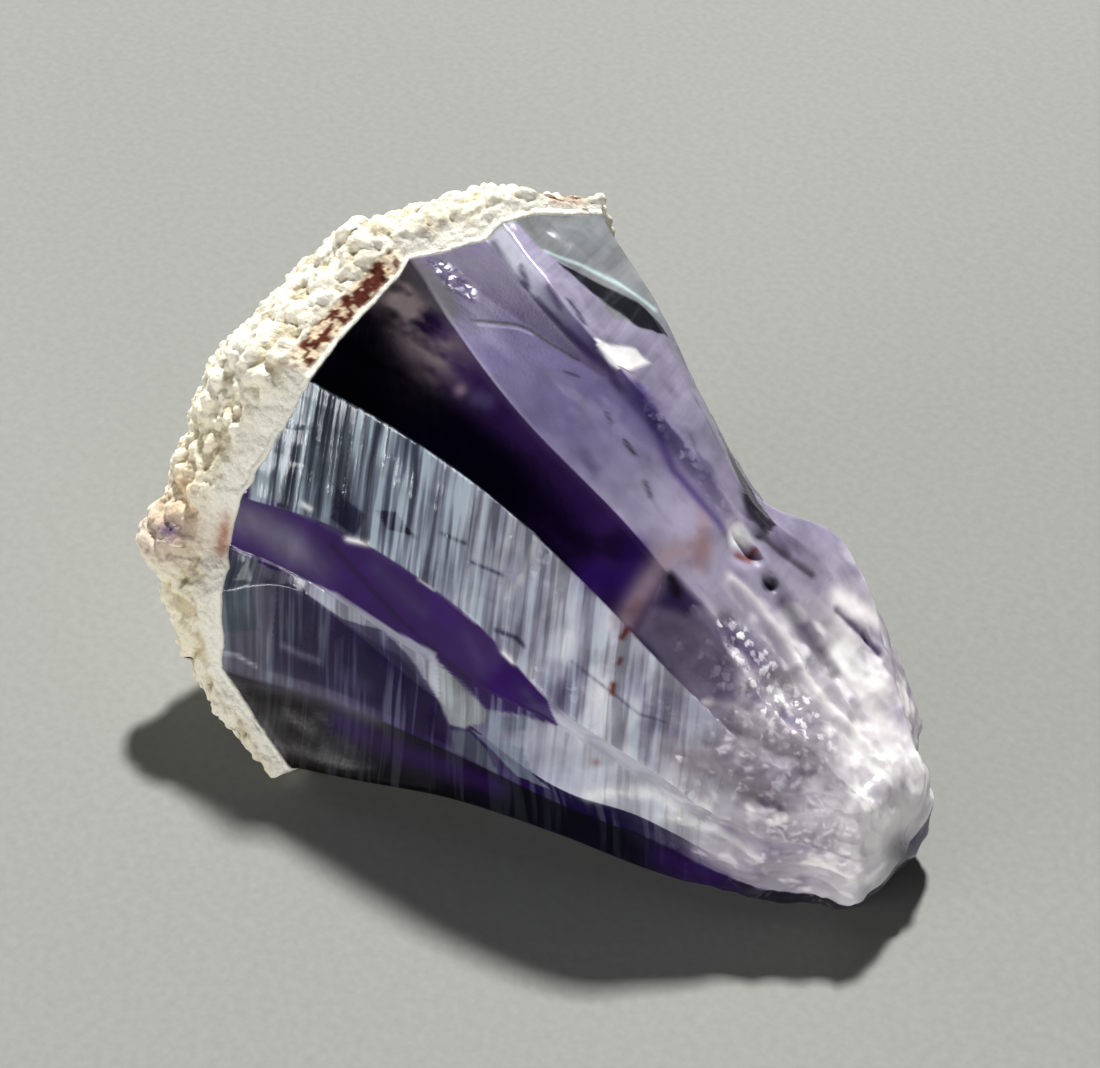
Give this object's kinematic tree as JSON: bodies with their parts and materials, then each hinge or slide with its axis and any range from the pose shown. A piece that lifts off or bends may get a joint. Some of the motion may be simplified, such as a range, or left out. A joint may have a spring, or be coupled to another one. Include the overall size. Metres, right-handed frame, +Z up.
{
  "type": "amethyst point",
  "caption": "Broken amethyst crystal point, purple to clear, with a milky chipped tip and a white granular crust over its wide end, lying on one long side.",
  "frame": {"origin": "middle of the bounding box's bottom, on the floor that the crystal rests on", "axes": "+X from the crusted wide end to the tip, the longest extent; +Z up as it lies"},
  "size_m": [0.056, 0.0398, 0.0341],
  "materials": {
    "amethyst": "clear to milky purple quartz, bright on its faces",
    "white_crust": "chalky, granular, lightly iron-stained"
  },
  "bodies": {
    "root": {"amethyst": "amethyst", "white_crust": "white_crust"}
  },
  "joints": []
}
